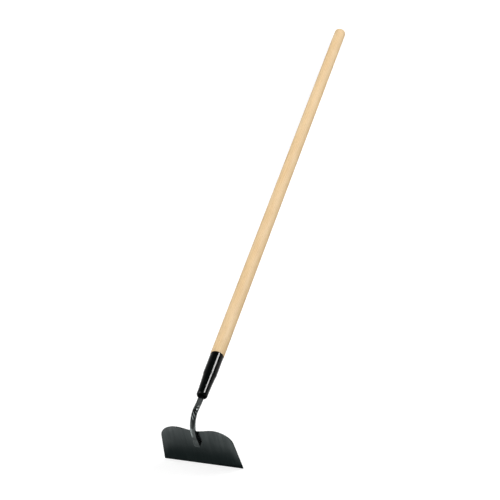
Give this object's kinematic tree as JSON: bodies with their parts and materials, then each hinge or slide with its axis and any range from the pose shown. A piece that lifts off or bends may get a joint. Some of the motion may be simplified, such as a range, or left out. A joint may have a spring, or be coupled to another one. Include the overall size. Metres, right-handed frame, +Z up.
{
  "type": "garden hoe",
  "caption": "Long handled draw hoe: flat steel blade with rounded shoulders, bent steel neck, drawn steel ferrule and turned ash handle.",
  "frame": {"origin": "on the floor, under the middle of the tool's bounding box, with the hoe lying down on its cutting edge and the butt of its handle", "axes": "+X across the blade, to the right for a viewer who faces the outer face with the neck; +Y along the tool from the blade to the butt; +Z up"},
  "size_m": [0.1584, 1.2938, 0.1356],
  "materials": {
    "pale_ash": "fine sanded and clear lacquered, satin",
    "gloss_black_paint": "high gloss black enamel on drawn steel",
    "satin_black_paint": "satin black paint on sheet steel",
    "dark_neck_paint": "thin satin black paint over bent rod, die marks showing",
    "plain_steel": "bare bright steel"
  },
  "bodies": {
    "root": {"handle": "pale_ash", "ferrule": "gloss_black_paint", "ferrule_nail": "plain_steel", "neck": "dark_neck_paint", "blade": "satin_black_paint", "weld_left": "satin_black_paint", "weld_right": "satin_black_paint"}
  },
  "joints": []
}
